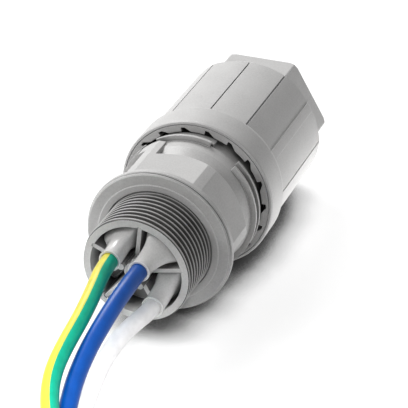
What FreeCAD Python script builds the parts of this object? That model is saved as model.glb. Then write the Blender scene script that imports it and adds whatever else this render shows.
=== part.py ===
"""Panel feed-through connector with a quick-connect union nut, millimetres.

The connector lies on its side: its axis runs along Y, the threaded panel shank points to -Y and the
hexagonal cable end of the union nut to +Y. Z = 0 and X = 0 lie on the axis, and Y = 0 is the plane in
which the flange gasket seals against the panel. Angles run from +X towards +Z.
"""
import FreeCAD, Part
import math
import os
import re

import Sketcher

Vector = FreeCAD.Vector
Rotation = FreeCAD.Rotation
Placement = FreeCAD.Placement

AXIS = Vector(0, 1, 0)

doc = FreeCAD.newDocument("feed_through_connector")

# Driving dimensions: alias, value, what it is
SIZES = [
    ("thread_radius", 12.5, "crest radius of the M25 x 1.5 panel thread"),
    ("thread_length", 12.5, "from the panel seat to the shank's open end"),
    ("thread_chamfer", 0.3, "lead-in at the shank's end"),
    ("shank_bore", 10.65, "inner radius of the shank"),
    ("seat_neck", 12.0, "radius of the waist that the gasket snaps onto"),
    ("gasket_radius", 16.95, "outer radius of the flange gasket"),
    ("gasket_lip", 0.5, "gasket thickness in front of the flange"),
    ("gasket_body", 15.55, "outer radius of the part of the gasket in the groove"),
    ("groove_depth", 1.0, "depth of the gasket's groove in the flange"),
    ("bead_start", 12.85, "inner radius of the raised sealing bead"),
    ("bead_end", 14.2, "outer radius of the raised sealing bead"),
    ("bead_height", 0.15, "how far the bead stands proud"),
    ("snug", 0.05, "clearance round pieces that sit still"),
    ("play", 0.3, "clearance round pieces that move"),
    ("flange_radius", 17.2, "outer radius of the flange"),
    ("gasket_slit", 0.3, "slit between the gasket's edge and the flange"),
    ("flange_thick", 1.4, "thickness of the flange"),
    ("edge_break", 0.25, "small chamfer on moulded edges"),
    ("neck_wall", 2.05, "wall of the neck at the middle of a wrench flat"),
    ("neck_corner_rise", 1.65, "rounded hexagon corners beyond the flats"),
    ("neck_length", 10.3, "length of the hexagon behind the flange"),
    ("neck_slope", 2.4, "length of the cone that ends the hexagon"),
    ("waist_wall", 1.75, "wall just behind the hexagon"),
    ("collar_step", 0.3, "surface that the collar ribs stand on, above the spigot"),
    ("rib_height", 1.3, "height of the collar ribs"),
    ("rib_thick", 0.6, "thickness of a collar rib"),
    ("front_rib", 18.2, "panel seat to the front rib"),
    ("rib_pitch", 2.3, "front rib to rear rib"),
    ("long_rib_half", 47.0, "half the angle of each long pair of ribs"),
    ("short_rib_end", 121.0, "angle at which each short rib ends"),
    ("short_rib_sweep", 48.0, "angle that a short rib covers"),
    ("pad_start", 111.0, "angle at which the pad beside a short rib starts"),
    ("pad_sweep", 22.0, "angle that the pad covers"),
    ("pad_gap", 1.1, "pad to the rear rib"),
    ("pawl_height", 0.8, "how far the two ratchet pawls stand out of the spigot"),
    ("pawl_sweep", 50.0, "angle that a pawl covers"),
    ("pawl_gap", 0.5, "rear rib to the pawl"),
    ("pawl_length", 2.6, "length of a pawl along the axis"),
    ("spigot_radius", 14.9, "radius of the spigot that carries the union nut"),
    ("spigot_end", 36.0, "panel seat to the spigot's rear face"),
    ("spigot_wall", 2.3, "wall of the spigot"),
    ("bore_step", 7.0, "panel seat to the shoulder inside the neck"),
    ("ring_section", 0.5, "section radius of the housing seal"),
    ("ring_inset", 0.95, "spigot's outside to the middle of the housing seal"),
    ("ring_groove", 0.4, "depth of the groove that holds the housing seal"),
    ("key_width", 2.0, "width of the splice ring's key"),
    ("key_height", 0.6, "how far the key stands out"),
    ("poles", 5.0, "number of wiring chambers and contacts"),
    ("first_web", 12.0, "angle of the first web between two chambers"),
    ("web_thick", 0.9, "thickness of the webs"),
    ("web_sunk", 0.15, "web edges behind the shank's end"),
    ("web_seat", 0.35, "depth of the notches that hold the webs"),
    ("chamber_depth", 8.5, "shank's end to the floor of the chambers"),
    ("floor_thick", 2.0, "thickness of the chamber floor"),
    ("hub_radius", 2.5, "radius of the hub where the webs meet"),
    ("hub_proud", 0.7, "hub in front of the shank's end"),
    ("boss_radius", 0.75, "radius of the small bosses round the hub"),
    ("boss_circle", 3.1, "radius of the circle that the bosses stand on"),
    ("boss_proud", 1.5, "bosses in front of the shank's end"),
    ("tail_circle", 6.9, "radius of the circle of contact tails"),
    ("tail_radius", 0.9, "radius of a contact tail"),
    ("tail_length", 3.2, "how far a contact tail reaches into its boot"),
    ("tail_bite", 0.4, "how far a contact tail reaches into its blade"),
    ("boot_base", 5.6, "length of a boot's sector-shaped base"),
    ("boot_reach", 5.5, "shank's end to the tip of a boot"),
    ("boot_neck", 2.3, "radius of a boot's neck"),
    ("boot_lip", 2.42, "radius of the lip at a boot's tip"),
    ("lip_length", 0.6, "length of the lip"),
    ("boot_gap", 0.35, "clearance round a boot in its chamber"),
    ("boot_socket", 2.5, "depth to which a lead enters its boot"),
    ("plug_length", 3.6, "length of a blank chamber plug"),
    ("lead_radius", 1.9, "radius of a lead over its insulation"),
    ("carrier_flange", 5.0, "thickness of the contact carrier's flange"),
    ("post_radius", 2.6, "radius of the carrier's guide post"),
    ("post_length", 12.0, "length of the guide post"),
    ("blade_circle", 7.5, "radius at which the contact blades stand"),
    ("blade_width", 4.4, "width of a contact blade"),
    ("blade_thick", 0.8, "sheet thickness of a contact"),
    ("blade_root", 3.8, "depth of a blade in the carrier"),
    ("blade_height", 9.0, "blade above the carrier's face"),
    ("fork_gap", 1.3, "width of the cutting slot in a blade"),
    ("fork_depth", 7.0, "depth of the cutting slot"),
    ("splice_gap", 2.7, "contact carrier to the splice ring"),
    ("flange_room", 3.6, "spigot to the splice ring's flange"),
    ("splice_flange_thick", 2.4, "thickness of the splice ring's flange"),
    ("splice_flange_over", 1.1, "splice ring's flange beyond the spigot's bore"),
    ("channel_radius", 1.9, "radius of a conductor channel"),
    ("channel_rear", 5.4, "radius of the circle of channels at the rear"),
    ("channel_wall", 2.5, "spigot's bore to the channels at the front"),
    ("blade_room", 3.1, "blade tips to the ends of the slots that take them"),
    ("cable_radius", 7.0, "largest cable that the seal takes, as a radius"),
    ("nest_step", 0.2, "flange, clamping ring and seal, each smaller by this radius"),
    ("seal_length", 8.5, "cylindrical length of the cable seal"),
    ("seal_cone", 4.2, "length of the seal's cone"),
    ("seal_tip", 8.9, "radius at the end of the seal's cone"),
    ("finger_wall", 0.5, "thickness of the clamping ring's fingers at their tips"),
    ("finger_start", 0.6, "seal's shoulder to the finger tips"),
    ("clamp_slit", 1.0, "width of the slits in the clamping ring"),
    ("clamp_slits", 8.0, "number of slits in the clamping ring"),
    ("clamp_floor", 3.2, "thickness of the clamping ring's closed end"),
    ("nut_gap", 2.4, "rear rib to the nut's front face"),
    ("nut_wall", 1.45, "wall of the nut outside its ratchet notches"),
    ("nut_step", 0.25, "step from the nut's front band down to its grip"),
    ("nut_round", 0.65, "rounding of the nut's front edge"),
    ("face_groove", 0.2, "width of the fine groove round the nut's front face"),
    ("face_groove_depth", 0.25, "depth of that groove"),
    ("nut_band", 8.0, "plain band before the grip lines"),
    ("mouth_depth", 3.5, "length of the front ring inside"),
    ("nut_teeth", 18.0, "number of ratchet notches"),
    ("tooth_depth", 1.0, "depth of a ratchet notch"),
    ("tooth_length", 2.6, "length of a ratchet notch along the axis"),
    ("nut_bore_room", 0.6, "end of the nut's bore to the splice ring's flange"),
    ("bore_slope", 1.2, "length of the cone between the nut's bore and cavity"),
    ("shoulder_wall", 1.0, "wall behind the clamping ring, before the rear hexagon"),
    ("facet_curve", 24.0, "radius of the six gently curved facets of the grip"),
    ("facet_sunk", 0.65, "how far a facet's middle lies under the grip's radius"),
    ("line_width", 0.34, "width of a grip line"),
    ("line_depth", 0.3, "depth of a grip line"),
    ("grip_rib_turn", 29.0, "angle of the raised rib on the grip"),
    ("grip_rib_sweep", 8.0, "angle that the raised rib covers"),
    ("grip_rib_height", 0.18, "height of the raised rib"),
    ("hex_flat", 14.25, "axis to each flat of the rear hexagon"),
    ("hex_corner", 16.35, "radius over the rear hexagon's corners"),
    ("hex_length", 9.7, "length of the rear hexagon"),
    ("hex_break", 0.5, "chamfer at the rear hexagon's end"),
    ("cable_entry", 7.4, "radius of the cable entry"),
    ("entry_break", 0.6, "chamfer at the cable entry"),
    ("coil_outer", 25.4, "mean radius of a coiled lead's outer turn"),
    ("coil_turns", 3.8, "turns of each flat coil"),
    ("coil_pitch", 3.9, "distance between neighbouring turns"),
    ("coil_start", 29.0, "angle from +X at which each lead joins its coil"),
    ("coil_x", -8.9, "centre of the coils along X"),
    ("coil_y", -90.6, "centre of the coils along Y"),
]

sheet = doc.addObject("Spreadsheet::Sheet", "Sizes")
for row, (alias, number, meaning) in enumerate(SIZES, start=1):
    sheet.set(f"A{row}", meaning)
    sheet.set(f"B{row}", str(number))
    sheet.setAlias(f"B{row}", alias)
doc.recompute()

ALIASES = re.compile(r"\b(" + "|".join(alias for alias, _, _ in SIZES) + r")\b")

# Places along the axis that several pieces share
SHANK_END = "-thread_length"
CHAMBER_FLOOR = "(chamber_depth - thread_length)"
FLOOR_BACK = "(chamber_depth + floor_thick - thread_length)"
FLANGE_FRONT = "(gasket_lip + gasket_slit)"
FLANGE_BACK = f"({FLANGE_FRONT} + flange_thick)"
HEX_END = f"({FLANGE_BACK} + neck_length)"
WAIST = f"({HEX_END} + neck_slope)"
REAR_RIB = "(front_rib + rib_pitch)"
RIBS_BACK = f"({REAR_RIB} + rib_thick)"
CARRIER_FACE = "(bore_step + carrier_flange)"
BLADE_BASE = f"({CARRIER_FACE} - blade_root)"
BLADE_TIP = f"({CARRIER_FACE} + blade_height)"
SPLICE_FRONT = f"({CARRIER_FACE} + splice_gap)"
SPLICE_FLANGE = "(spigot_end + flange_room)"
SPLICE_BACK = f"({SPLICE_FLANGE} + splice_flange_thick)"
SEAL_SHOULDER = f"({SPLICE_BACK} + seal_length)"
SEAL_BACK = f"({SEAL_SHOULDER} + seal_cone)"
CLAMP_BACK = f"({SEAL_BACK} + play + clamp_floor)"
NUT_FRONT = f"({RIBS_BACK} + nut_gap)"
NUT_SHOULDER = f"({CLAMP_BACK} + play)"
GRIP_START = f"({NUT_FRONT} + nut_band)"
GRIP_END = f"({NUT_SHOULDER} + shoulder_wall)"
NUT_END = f"({GRIP_END} + hex_length)"

# Radii that fit round one another
REAR_BORE = "(spigot_radius - spigot_wall)"
NECK_FLAT = f"({REAR_BORE} + neck_wall)"
NECK_CORNER = f"({NECK_FLAT} + neck_corner_rise)"
WAIST_RADIUS = f"({REAR_BORE} + waist_wall)"
COLLAR_ROOT = "(spigot_radius + collar_step)"
RIB_RADIUS = f"({COLLAR_ROOT} + rib_height)"
PAWL_RADIUS = "(spigot_radius + pawl_height)"
RING_RADIUS = "(spigot_radius - ring_inset)"
SPLICE_FLANGE_RADIUS = f"({REAR_BORE} + splice_flange_over)"
CHANNEL_FRONT = f"({REAR_BORE} - channel_radius - channel_wall)"
CLAMP_RADIUS = f"({SPLICE_FLANGE_RADIUS} - nest_step)"
SEAL_RADIUS = f"({CLAMP_RADIUS} - nest_step)"
NUT_BORE = "(spigot_radius + play)"
NUT_CAVITY = f"({SPLICE_FLANGE_RADIUS} + play)"
NUT_MOUTH = f"({PAWL_RADIUS} + play)"
NUT_RADIUS = f"({NUT_MOUTH} + tooth_depth + nut_wall)"
NUT_GRIP = f"({NUT_RADIUS} - nut_step)"

# The chambers and their contacts: angle between two, and the middle of the first
CHAMBER_STEP = "(360 / poles)"
FIRST_MIDDLE = f"(first_web + {CHAMBER_STEP} / 2)"


def linked(text):
    """The expression with every alias written as a reference to its cell."""
    return ALIASES.sub(r"Sizes.\1", text)


def value(text):
    """The number that an expression gives."""
    result = sheet.evalExpression(linked(text))
    return float(getattr(result, "Value", result))


def bind(thing, path, text):
    thing.setExpression(path, linked(text))


def new_body(label):
    body = doc.addObject("PartDesign::Body", label)
    body.Label = label
    return body


def origin_feature(body, role):
    return next(f for f in body.Origin.OriginFeatures if f.Role == role)


def new_sketch(body, name, role, shift=None, turn=None):
    """A sketch on one of the body's planes, moved along its normal or turned about the connector's axis."""
    sketch = body.newObject("Sketcher::SketchObject", f"{body.Name}_{name}")
    sketch.AttachmentSupport = [(origin_feature(body, role), "")]
    sketch.MapMode = "FlatFace"
    if turn is not None:
        axis = Vector(0, 1, 0) if role == "XY_Plane" else Vector(0, 0, 1)
        sketch.AttachmentOffset = Placement(Vector(), Rotation(axis, 1))
        sign = "-" if role == "XY_Plane" else ""
        bind(sketch, "AttachmentOffset.Rotation.Angle", f"{sign}({turn})")
    if shift is not None:
        bind(sketch, "AttachmentOffset.Base.z", shift)
    return sketch


def fix_point(sketch, geometry, end, expressions, point):
    """Hold one end or centre of a sketch's line or circle at a place given by two expressions."""
    for kind, text, number, axis in zip(("DistanceX", "DistanceY"), expressions, point, (-2, -1)):
        if text == "0":
            sketch.addConstraint(Sketcher.Constraint("PointOnObject", geometry, end, axis))
            continue
        index = sketch.addConstraint(Sketcher.Constraint(kind, -1, 1, geometry, end, number))
        bind(sketch, f"Constraints[{index}]", text)


def outline(sketch, corners):
    """A closed outline of straight lines, each corner fixed by two expressions."""
    points = [Vector(value(x), value(y), 0) for x, y in corners]
    first = sketch.GeometryCount
    count = len(points)
    for start, end in zip(points, points[1:] + points[:1]):
        sketch.addGeometry(Part.LineSegment(start, end), False)
    for i in range(count):
        after = first + (i + 1) % count
        sketch.addConstraint(Sketcher.Constraint("Coincident", first + i, 2, after, 1))
    for i, (corner, point) in enumerate(zip(corners, points)):
        fix_point(sketch, first + i, 1, corner, point)


def circle(sketch, x, y, radius):
    """A circle whose centre and radius are expressions."""
    centre = Vector(value(x), value(y), 0)
    index = sketch.addGeometry(Part.Circle(centre, Vector(0, 0, 1), value(radius)), False)
    fix_point(sketch, index, 3, (x, y), centre)
    at = sketch.addConstraint(Sketcher.Constraint("Radius", index, value(radius)))
    bind(sketch, f"Constraints[{at}]", radius)


def revolved(body, name, corners, start=None, sweep=None):
    """A solid of revolution about the axis from (radius, place along the axis) corners.

    With a start and a sweep it covers only that angle, going down from the start."""
    sketch = new_sketch(body, f"{name}_profile", "XY_Plane", turn=start)
    outline(sketch, corners)
    feature = body.newObject("PartDesign::Revolution", f"{body.Name}_{name}")
    feature.Profile = sketch
    feature.ReferenceAxis = (sketch, ["V_Axis"])
    feature.Angle = 360
    if sweep is not None:
        bind(feature, "Angle", sweep)
    body.Tip = feature
    return feature


def padded(body, name, draw, front, back, turn=None):
    """A prism along the axis from front to back, drawn by the given function."""
    sketch = new_sketch(body, f"{name}_section", "XZ_Plane", shift=f"-({back})", turn=turn)
    draw(sketch)
    feature = body.newObject("PartDesign::Pad", f"{body.Name}_{name}")
    feature.Profile = sketch
    bind(feature, "Length", f"({back}) - ({front})")
    body.Tip = feature
    return feature


def pocketed(body, name, draw, front, back, turn=None):
    """The same prism, cut away."""
    sketch = new_sketch(body, f"{name}_section", "XZ_Plane", shift=f"-({front})", turn=turn)
    draw(sketch)
    feature = body.newObject("PartDesign::Pocket", f"{body.Name}_{name}")
    feature.Profile = sketch
    bind(feature, "Length", f"({back}) - ({front})")
    body.Tip = feature
    return feature


def patterned(body, name, features, count):
    """Copies of features spaced evenly round the axis."""
    feature = body.newObject("PartDesign::PolarPattern", f"{body.Name}_{name}")
    feature.Originals = features
    feature.Axis = (origin_feature(body, "Y_Axis"), [""])
    feature.Angle = 360
    bind(feature, "Occurrences", count)
    body.Tip = feature
    return feature


def box_outline(x0, x1, z0, z1):
    return lambda sketch: outline(sketch, [(x0, z0), (x1, z0), (x1, z1), (x0, z1)])


def slot_outline(radius0, radius1, width):
    """A rectangle that reaches from one radius to another along +X."""
    return box_outline(radius0, radius1, f"-({width}) / 2", f"({width}) / 2")


def polar(radius, angle):
    return (f"({radius}) * cos({angle})", f"({radius}) * sin({angle})")


def shape_part(label, shape):
    """A piece whose free form comes straight from Part's own functions."""
    feature = doc.addObject("Part::Feature", label)
    feature.Label = label
    feature.Shape = shape
    return feature


# Panel base: shank, flange, hexagonal neck, collar ribs and spigot, moulded as one piece


def make_panel_base():
    base = new_body("panel_base")
    groove_back = "(gasket_lip + groove_depth)"
    collar_start = "(front_rib - 0.5)"
    ring_inner = f"({RING_RADIUS} - ring_section - snug)"
    ring_outer = f"({RING_RADIUS} + ring_section + snug)"
    revolved(base, "shell", [
        ("shank_bore", SHANK_END),
        ("thread_radius - thread_chamfer", SHANK_END),
        ("thread_radius", f"{SHANK_END} + thread_chamfer"),
        ("thread_radius", "0"),
        ("seat_neck", "0"),
        ("seat_neck", groove_back),
        ("gasket_body + snug", groove_back),
        ("gasket_body + snug", FLANGE_FRONT),
        ("flange_radius - edge_break", FLANGE_FRONT),
        ("flange_radius", f"{FLANGE_FRONT} + edge_break"),
        ("flange_radius", f"{FLANGE_BACK} - edge_break"),
        ("flange_radius - edge_break", FLANGE_BACK),
        (NECK_CORNER, FLANGE_BACK),
        (NECK_CORNER, HEX_END),
        (WAIST_RADIUS, WAIST),
        (COLLAR_ROOT, collar_start),
        (COLLAR_ROOT, RIBS_BACK),
        ("spigot_radius", f"{RIBS_BACK} + edge_break"),
        ("spigot_radius", "spigot_end - edge_break"),
        ("spigot_radius - edge_break", "spigot_end"),
        (ring_outer, "spigot_end"),
        (ring_outer, "spigot_end - ring_groove"),
        (ring_inner, "spigot_end - ring_groove"),
        (ring_inner, "spigot_end"),
        (REAR_BORE, "spigot_end"),
        (REAR_BORE, "bore_step"),
        ("shank_bore", "bore_step"),
    ])
    # two pads carry a corner of the hexagon on to the collar
    pad_back = f"{REAR_RIB} - pad_gap"
    pad = revolved(base, "pad", [
        (f"{WAIST_RADIUS} - 1", f"{HEX_END} - 0.5"),
        (NECK_CORNER, f"{HEX_END} - 0.5"),
        (NECK_CORNER, pad_back),
        (f"{WAIST_RADIUS} - 1", pad_back),
    ], start="pad_start + pad_sweep", sweep="pad_sweep")
    patterned(base, "pads", [pad], "2")
    over = f"({NECK_CORNER} + 1)"
    flat = pocketed(base, "flat", box_outline(f"-{over}", over, NECK_FLAT, over),
                    FLANGE_BACK, f"{WAIST} + 1", turn="30 - 90")
    patterned(base, "flats", [flat], "6")
    pad_flat = pocketed(base, "pad_flat",
                        box_outline(f"-{over}", f"{NECK_FLAT} * cos(pad_start) / sin(pad_start) + 0.5",
                                    NECK_FLAT, over),
                        FLANGE_BACK, pad_back)
    patterned(base, "pad_flats", [pad_flat], "2")

    def rib(name, front, start, sweep):
        return revolved(base, name, [
            (f"{COLLAR_ROOT} - 1", front),
            (RIB_RADIUS, front),
            (RIB_RADIUS, f"{front} + rib_thick"),
            (f"{COLLAR_ROOT} - 1", f"{front} + rib_thick"),
        ], start=start, sweep=sweep)

    ribs = [
        rib("front_rib", "front_rib", "long_rib_half", "2 * long_rib_half"),
        rib("rear_rib", REAR_RIB, "long_rib_half", "2 * long_rib_half"),
        rib("short_rib", REAR_RIB, "short_rib_end", "short_rib_sweep"),
    ]
    patterned(base, "ribs", ribs, "2")
    # the pawls lie behind the short ribs and click over the nut's ratchet notches
    pawl_front = f"({RIBS_BACK} + pawl_gap)"
    pawl = revolved(base, "pawl", [
        ("spigot_radius - 1", pawl_front),
        (PAWL_RADIUS, pawl_front),
        (PAWL_RADIUS, f"{pawl_front} + pawl_length * 0.8"),
        ("spigot_radius", f"{pawl_front} + pawl_length"),
        ("spigot_radius - 1", f"{pawl_front} + pawl_length"),
    ], start="short_rib_end", sweep="pawl_sweep")
    patterned(base, "pawls", [pawl], "2")
    notch = pocketed(base, "web_notch",
                     slot_outline("shank_bore - 0.5", "shank_bore + web_seat", "web_thick + 2 * snug"),
                     f"{SHANK_END} - 0.01", f"{FLOOR_BACK} + snug", turn="first_web")
    patterned(base, "web_notches", [notch], "poles")
    pocketed(base, "keyway",
             slot_outline(f"{REAR_BORE} - 0.5", f"{REAR_BORE} + key_height", "key_width + 2 * play"),
             CARRIER_FACE, "spigot_end + 0.01", turn="270")
    return base


def make_flange_gasket():
    gasket = new_body("flange_gasket")
    lip = "gasket_lip"
    back = "gasket_lip + groove_depth"
    revolved(gasket, "ring", [
        ("seat_neck + snug", "2 * bead_height"),
        ("bead_start - 0.25", "2 * bead_height"),
        ("bead_start", "0"),
        ("bead_end", "0"),
        ("bead_end + bead_height", "bead_height"),
        ("gasket_radius - gasket_lip + bead_height", "bead_height"),
        ("gasket_radius", lip),
        ("gasket_body", lip),
        ("gasket_body", back),
        ("seat_neck + snug", back),
    ])
    return gasket


def make_housing_seal():
    seal = doc.addObject("Part::Torus", "housing_seal")
    seal.Label = "housing_seal"
    bind(seal, "Radius1", RING_RADIUS)
    bind(seal, "Radius2", "ring_section")
    seal.Placement = Placement(Vector(), Rotation(Vector(1, 0, 0), -90))
    bind(seal, "Placement.Base.y", "spigot_end - ring_groove + ring_section + snug")
    return seal


def make_chamber_insert():
    insert = new_body("chamber_insert")
    revolved(insert, "floor", [
        ("0", CHAMBER_FLOOR),
        ("shank_bore - play", CHAMBER_FLOOR),
        ("shank_bore - play", FLOOR_BACK),
        ("0", FLOOR_BACK),
    ])
    hub_front = f"{SHANK_END} - hub_proud"
    revolved(insert, "hub", [
        ("0", hub_front),
        ("hub_radius - edge_break", hub_front),
        ("hub_radius", f"{hub_front} + edge_break"),
        ("hub_radius", f"{CHAMBER_FLOOR} + 0.5"),
        ("0", f"{CHAMBER_FLOOR} + 0.5"),
    ])
    web = padded(insert, "web", slot_outline("hub_radius - 1", "shank_bore + web_seat - snug", "web_thick"),
                 f"{SHANK_END} + web_sunk", FLOOR_BACK, turn="first_web")
    patterned(insert, "webs", [web], "poles")
    boss = padded(insert, "boss", lambda sketch: circle(sketch, "boss_circle", "0", "boss_radius"),
                  f"{SHANK_END} - boss_proud", f"{CHAMBER_FLOOR} + 0.5", turn="first_web")
    patterned(insert, "bosses", [boss], "poles")
    hole = pocketed(insert, "tail_hole",
                    lambda sketch: circle(sketch, "tail_circle", "0", "tail_radius + 2 * snug"),
                    f"{CHAMBER_FLOOR} - 0.01", f"{FLOOR_BACK} + 0.01", turn=FIRST_MIDDLE)
    patterned(insert, "tail_holes", [hole], "poles")
    return insert


# Boots and blank plugs: rounded sectors that fill a chamber


def sector_reach(angle, centre_radius):
    """Distance from a chamber's middle to its wall, with the corners rounded off.

    The angle is measured from the outward direction of the chamber's middle line."""
    half = math.pi / value("poles")
    inset = value("web_thick / 2 + boot_gap")
    outer = value("shank_bore - boot_gap")
    inner = value("boss_circle + boss_radius + boot_gap")
    sharpness = 7
    across = math.sin(angle)
    outward = math.cos(angle)
    walls = []
    side = centre_radius * math.sin(half) - inset
    for sign in (1, -1):
        toward = sign * across * math.cos(half) - outward * math.sin(half)
        if toward > 1e-6:
            walls.append(side / toward)
    arc = math.sqrt(outer ** 2 - (centre_radius * across) ** 2) - centre_radius * outward
    walls.append(arc)
    if outward < -1e-6:
        walls.append((centre_radius - inner) / -outward)
    return sum(wall ** -sharpness for wall in walls) ** (-1 / sharpness)


def chamber_section(place, turn, centre_radius, size, roundness, neck):
    """A closed smooth curve across the axis, between the chamber's outline and a circle."""
    points = []
    steps = 20
    home = value("tail_circle")
    for step in range(steps):
        angle = 2 * math.pi * step / steps
        reach = (1 - roundness) * size * sector_reach(angle, home) + roundness * neck
        along = centre_radius + reach * math.cos(angle)
        aside = reach * math.sin(angle)
        points.append(Vector(along * math.cos(turn) - aside * math.sin(turn), place,
                             along * math.sin(turn) + aside * math.cos(turn)))
    curve = Part.BSplineCurve()
    curve.interpolate(points, PeriodicFlag=True)
    return Part.Wire([curve.toShape()])


def along_axis(radius, centre_radius, turn, front, back):
    """A round bar along the axis from front to back."""
    centre = Vector(centre_radius * math.cos(turn), front, centre_radius * math.sin(turn))
    return Part.makeCylinder(radius, back - front, centre, AXIS)


def chamber_turn(number):
    """The direction of a chamber's middle line, in radians."""
    return math.radians(value(f"first_web + {CHAMBER_STEP} * ({number} + 0.5)"))


# Each boot's chamber number and the place of its tip across the axis
BOOTS = {
    "lead_boot_neutral": (0, Vector(3.1, 0, 3.6)),
    "lead_boot_earth": (1, Vector(-3.6, 0, 4.8)),
    "lead_boot_line": (4, Vector(6.1, 0, -4.6)),
}
PLUGS = {"blank_plug_left": 2, "blank_plug_low": 3}


def make_boot(label, number, tip):
    turn = chamber_turn(number)
    tip_radius = tip.Length
    tip_turn = math.atan2(tip.z, tip.x) % (2 * math.pi)
    home = value("tail_circle")
    floor = value(CHAMBER_FLOOR)
    end = value(f"{SHANK_END} - boot_reach")
    shoulder = value(f"{CHAMBER_FLOOR} - boot_base")
    neck = value("boot_neck")
    slope = shoulder - end
    sections = []
    # place down the boot's slope, size of the sector, share of roundness, share of the tip's place
    for down, size, roundness, lean in (
        (0.00, 1.00, 0.00, 0.00),
        (0.09, 0.97, 0.06, 0.04),
        (0.20, 0.88, 0.22, 0.14),
        (0.36, 0.80, 0.55, 0.40),
        (0.55, 0.80, 0.88, 0.74),
        (0.72, 0.80, 1.00, 0.94),
        (1.00, 0.80, 1.00, 1.00),
    ):
        radius = home + lean * (tip_radius - home)
        angle = turn + lean * (tip_turn - turn)
        sections.append(chamber_section(shoulder - down * slope, angle, radius, size, roundness, neck))
    foot = chamber_section(floor, turn, home, 1.0, 0.0, neck)
    base = Part.makeLoft([foot, sections[0]], True, True)
    funnel = Part.makeLoft(sections, True, False)
    lip = along_axis(value("boot_lip"), tip_radius, tip_turn, end, end + value("lip_length"))
    socket = along_axis(value("lead_radius + snug"), tip_radius, tip_turn, end - 1,
                        end + value("boot_socket"))
    tail = along_axis(value("tail_radius + snug"), home, turn, floor - value("tail_length + play"),
                      floor + 1)
    return shape_part(label, base.fuse([funnel, lip]).removeSplitter().cut([socket, tail]))


def make_plug(label, number):
    turn = chamber_turn(number)
    home = value("tail_circle")
    floor = value(CHAMBER_FLOOR)
    length = value("plug_length")
    neck = value("boot_neck")
    wires = [
        chamber_section(floor - down * length, turn, home, size, 0.0, neck)
        for down, size in ((0.0, 1.0), (0.75, 1.0), (0.93, 0.95), (1.0, 0.86))
    ]
    body = Part.makeLoft(wires, True, True)
    tail = along_axis(value("tail_radius + snug"), home, turn, floor - value("tail_length + play"),
                      floor + 1)
    return shape_part(label, body.cut(tail))


# Contact carrier and its forked insulation-displacement contacts


def make_contact_carrier():
    carrier = new_body("contact_carrier")
    revolved(carrier, "block", [
        ("0", FLOOR_BACK),
        ("shank_bore - play", FLOOR_BACK),
        ("shank_bore - play", "bore_step"),
        (f"{REAR_BORE} - play", "bore_step"),
        (f"{REAR_BORE} - play", f"{CARRIER_FACE} - edge_break"),
        (f"{REAR_BORE} - play - edge_break", CARRIER_FACE),
        ("post_radius", CARRIER_FACE),
        ("post_radius", f"{CARRIER_FACE} + post_length - 2 * edge_break"),
        ("post_radius - 2 * edge_break", f"{CARRIER_FACE} + post_length"),
        ("0", f"{CARRIER_FACE} + post_length"),
    ])
    slot = pocketed(carrier, "blade_slot",
                    box_outline("blade_circle - blade_thick / 2 - snug",
                                "blade_circle + blade_thick / 2 + snug",
                                "-(blade_width / 2 + snug)", "blade_width / 2 + snug"),
                    f"{BLADE_BASE} - snug", f"{CARRIER_FACE} + 0.01", turn=FIRST_MIDDLE)
    hole = pocketed(carrier, "tail_hole",
                    lambda sketch: circle(sketch, "tail_circle", "0", "tail_radius + 2 * snug"),
                    f"{FLOOR_BACK} - 0.01", f"{BLADE_BASE} + tail_bite + snug", turn=FIRST_MIDDLE)
    patterned(carrier, "contact_seats", [slot, hole], "poles")
    return carrier


def make_contact(number):
    """A tail with a flat blade on it, whose slot cuts into a conductor's insulation."""
    contact = new_body(f"contact_{number + 1}")
    sketch = new_sketch(contact, "blade_face", "YZ_Plane", shift="blade_circle - blade_thick / 2")
    edge = "blade_width / 2"
    gap = "fork_gap / 2"
    lead_in = "(fork_gap / 2 + 0.7)"
    root = f"({BLADE_TIP} - fork_depth)"
    outline(sketch, [
        (BLADE_BASE, f"-{edge}"),
        (f"{BLADE_TIP} - 0.6", f"-{edge}"),
        (BLADE_TIP, f"-{lead_in}"),
        (f"{BLADE_TIP} - 1", f"-{gap}"),
        (root, f"-{gap}"),
        (root, gap),
        (f"{BLADE_TIP} - 1", gap),
        (BLADE_TIP, lead_in),
        (f"{BLADE_TIP} - 0.6", edge),
        (BLADE_BASE, edge),
    ])
    blade = contact.newObject("PartDesign::Pad", f"{contact.Name}_blade")
    blade.Profile = sketch
    bind(blade, "Length", "blade_thick")
    contact.Tip = blade
    padded(contact, "tail", lambda drawn: circle(drawn, "tail_circle", "0", "tail_radius"),
           f"{CHAMBER_FLOOR} - tail_length", f"{BLADE_BASE} + tail_bite")
    contact.Placement = Placement(Vector(), Rotation(AXIS, 1))
    bind(contact, "Placement.Rotation.Angle", f"-(first_web + {CHAMBER_STEP} * ({number} + 0.5))")
    return contact


# Splice ring: guides the five conductors over the contact blades


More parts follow.
